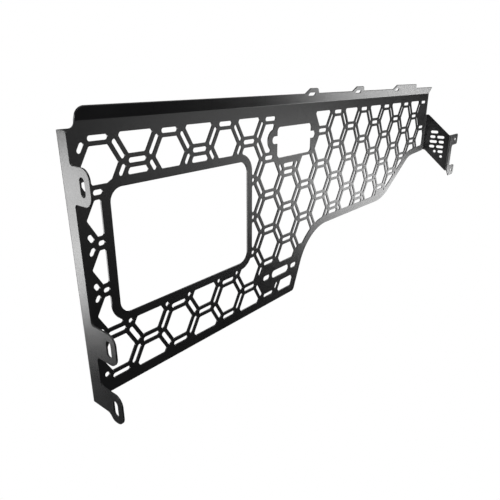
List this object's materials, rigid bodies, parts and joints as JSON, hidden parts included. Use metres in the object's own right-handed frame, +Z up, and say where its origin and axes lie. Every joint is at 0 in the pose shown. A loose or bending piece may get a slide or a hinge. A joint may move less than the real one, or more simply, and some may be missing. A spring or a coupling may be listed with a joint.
{
  "type": "pickup bed side rack panel",
  "caption": "Long folded sheet panel with a hexagon lattice, a storage window, an outlet window and slotted mounting tabs, bolted along the side of a pickup bed.",
  "frame": {"origin": "midway between the two slotted anchor holes near the panel's lower edge, on the panel's front face", "axes": "+X along the panel towards its narrow cab end, +Z up, the folded flanges and tabs point to -Y"},
  "size_m": [1.537, 0.1017, 0.5365],
  "materials": {
    "black_powder_coat": "satin black powder coat"
  },
  "bodies": {
    "root": {"panel_tail_post": "black_powder_coat", "panel_window_header": "black_powder_coat", "panel_window_sill": "black_powder_coat", "foot_tail_side": "black_powder_coat", "foot_cab_side": "black_powder_coat", "strap_slot_header": "black_powder_coat", "strap_slot_sill": "black_powder_coat", "panel_centre_post": "black_powder_coat", "panel_outlet_header": "black_powder_coat", "panel_outlet_sill": "black_powder_coat", "panel_cab_field": "black_powder_coat", "top_flange": "black_powder_coat", "tail_flange": "black_powder_coat", "upper_tail_tab": "black_powder_coat", "middle_tail_tab": "black_powder_coat", "lower_tail_tab": "black_powder_coat", "cab_bracket": "black_powder_coat", "cab_end_flange": "black_powder_coat", "upper_cab_ear": "black_powder_coat", "lower_cab_ear": "black_powder_coat"}
  },
  "joints": []
}
